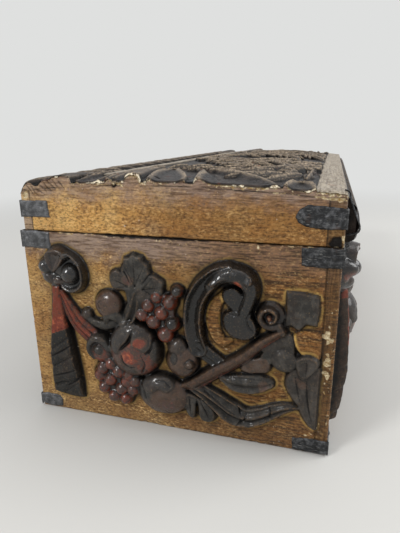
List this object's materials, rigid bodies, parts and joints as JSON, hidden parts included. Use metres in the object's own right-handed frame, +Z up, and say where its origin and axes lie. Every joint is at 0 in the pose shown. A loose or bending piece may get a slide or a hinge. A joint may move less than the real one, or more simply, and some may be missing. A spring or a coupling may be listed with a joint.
{
  "type": "cassone",
  "caption": "Carved and painted low chest with a crowned lid on two rear hinges, iron corner straps and fruit-swag relief.",
  "frame": {"origin": "centre of the carcase's underside, where the chest stands", "axes": "+X along the length, -Y the carved front, +Y the hinged rear, +Z up"},
  "size_m": [0.585, 0.2577, 0.1941],
  "materials": {
    "ochre_ground": "worn ochre-gold painted ground over wood, satin",
    "plain_wood": "aged dark brown wood, dry satin",
    "lid_walnut": "nearly black stained carved wood, waxed",
    "black_paint": "black painted carving, soft sheen",
    "red_paint": "dark red painted carving, soft sheen",
    "brown_paint": "brown-black painted carving, soft sheen",
    "grape_paint": "dark red painted carving, glossy from handling",
    "stem_paint": "red-brown painted carving, soft sheen",
    "strap_iron": "blackened sheet iron, dull"
  },
  "bodies": {
    "chest": {"bottom_board": "plain_wood", "chest_nails": "strap_iron", "foot_strap_front_left": "strap_iron", "foot_strap_front_right": "strap_iron", "foot_strap_rear_left": "strap_iron", "foot_strap_rear_right": "strap_iron", "front_board": "ochre_ground", "front_drapery": "black_paint", "front_foliage": "black_paint", "front_fruit": "brown_paint", "front_grapes": "grape_paint", "front_ribbon": "red_paint", "front_rosette": "black_paint", "front_scroll": "black_paint", "front_stem": "stem_paint", "hinge_lower_leaf_left": "strap_iron", "hinge_lower_leaf_right": "strap_iron", "hinge_pin_left": "strap_iron", "hinge_pin_right": "strap_iron", "left_drapery": "black_paint", "left_end_board": "ochre_ground", "left_foliage": "black_paint", "left_fruit": "brown_paint", "left_grapes": "grape_paint", "left_ribbon": "red_paint", "left_rosette": "black_paint", "left_scroll": "black_paint", "left_stem": "stem_paint", "rear_board": "plain_wood", "right_drapery": "black_paint", "right_end_board": "ochre_ground", "right_foliage": "black_paint", "right_fruit": "brown_paint", "right_grapes": "grape_paint", "right_ribbon": "red_paint", "right_rosette": "black_paint", "right_scroll": "black_paint", "right_stem": "stem_paint", "rim_strap_front_left": "strap_iron", "rim_strap_front_right": "strap_iron", "rim_strap_rear_left": "strap_iron", "rim_strap_rear_right": "strap_iron"},
    "lid": {"hinge_upper_leaf_left": "strap_iron", "hinge_upper_leaf_right": "strap_iron", "iron_band": "strap_iron", "lid_foliage": "lid_walnut", "lid_front_rail": "plain_wood", "lid_left_rail": "ochre_ground", "lid_moulding": "lid_walnut", "lid_nails": "strap_iron", "lid_rear_rail": "plain_wood", "lid_right_rail": "ochre_ground", "lid_rope_border": "lid_walnut", "lid_strap_front_left": "strap_iron", "lid_strap_front_right": "strap_iron", "lid_strap_rear_left": "strap_iron", "lid_strap_rear_right": "strap_iron", "lid_top_board": "lid_walnut"}
  },
  "joints": [
    {"name": "lid_hinge", "type": "hinge", "parent": "chest", "child": "lid", "pos_m": [0, 0.118, 0.15], "axis": [-1, 0, 0], "range_deg": [0, 100]}
  ]
}
